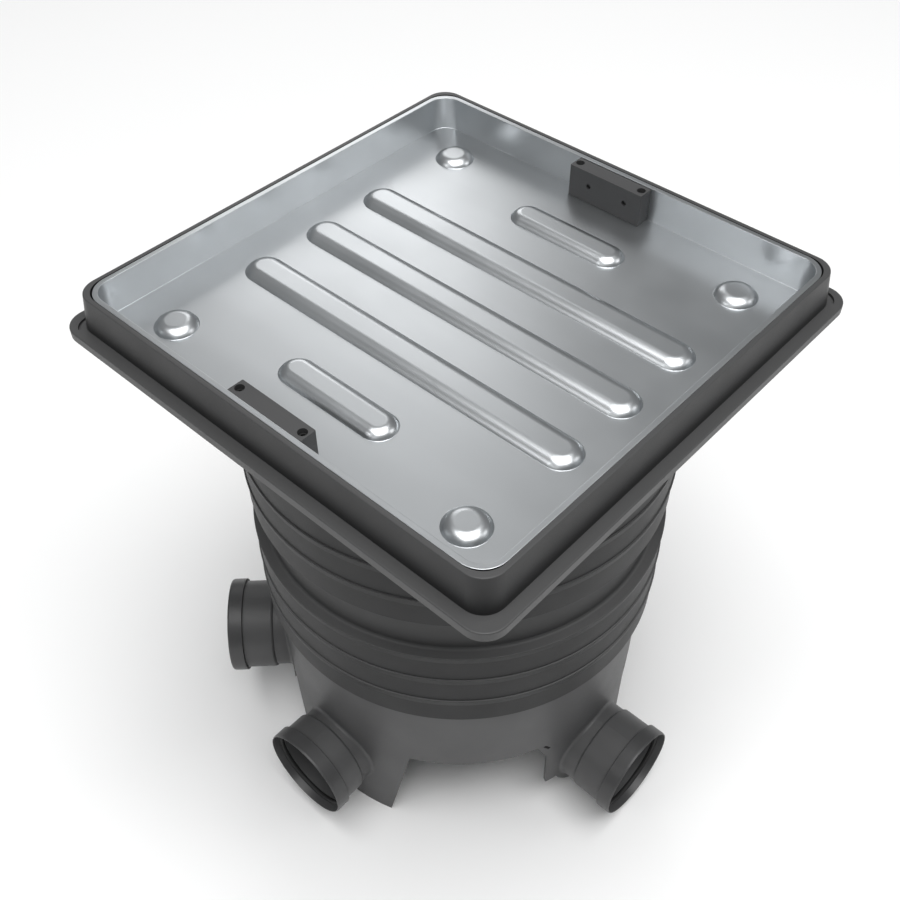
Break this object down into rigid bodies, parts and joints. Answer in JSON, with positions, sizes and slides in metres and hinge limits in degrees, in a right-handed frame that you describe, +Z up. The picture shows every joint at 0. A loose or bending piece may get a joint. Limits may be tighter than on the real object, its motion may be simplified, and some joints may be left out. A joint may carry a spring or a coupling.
{
  "type": "drain inspection chamber",
  "caption": "Round plastic drain inspection chamber with radial pipe sockets, stacked ribbed risers and a square frame holding a recessed steel tray cover.",
  "frame": {"origin": "centre of the base at ground level", "axes": "+X along the main channel towards the outlet, +Z up the shaft to the cover"},
  "size_m": [0.629, 0.598, 0.728],
  "materials": {
    "base_plastic": "dark grey moulded polypropylene, satin",
    "riser_plastic": "black moulded polypropylene, satin",
    "frame_plastic": "black moulded polypropylene, satin",
    "cap_plastic": "dark grey moulded plastic, satin",
    "block_plastic": "dark grey moulded plastic, fine grain",
    "galvanised_sheet": "smooth galvanised sheet steel",
    "screw_steel": "blackened steel",
    "rubber": "black rubber"
  },
  "bodies": {
    "root": {"base_chamber": "base_plastic", "riser_lower": "riser_plastic", "riser_upper": "riser_plastic", "seal_base": "rubber", "seal_riser": "rubber", "seal_frame": "rubber", "frame": "frame_plastic", "tray_gasket": "rubber", "tray": "galvanised_sheet", "lock_block_left": "block_plastic", "lock_block_right": "block_plastic", "lock_screws": "screw_steel", "block_pins": "screw_steel", "cap_outlet": "cap_plastic", "seal_outlet": "rubber", "cap_inlet_main": "cap_plastic", "seal_inlet_main": "rubber", "cap_inlet_left_90": "cap_plastic", "seal_inlet_left_90": "rubber", "cap_inlet_right_90": "cap_plastic", "seal_inlet_right_90": "rubber", "cap_inlet_left_45": "cap_plastic", "seal_inlet_left_45": "rubber", "cap_inlet_right_45": "cap_plastic", "seal_inlet_right_45": "rubber"}
  },
  "joints": []
}
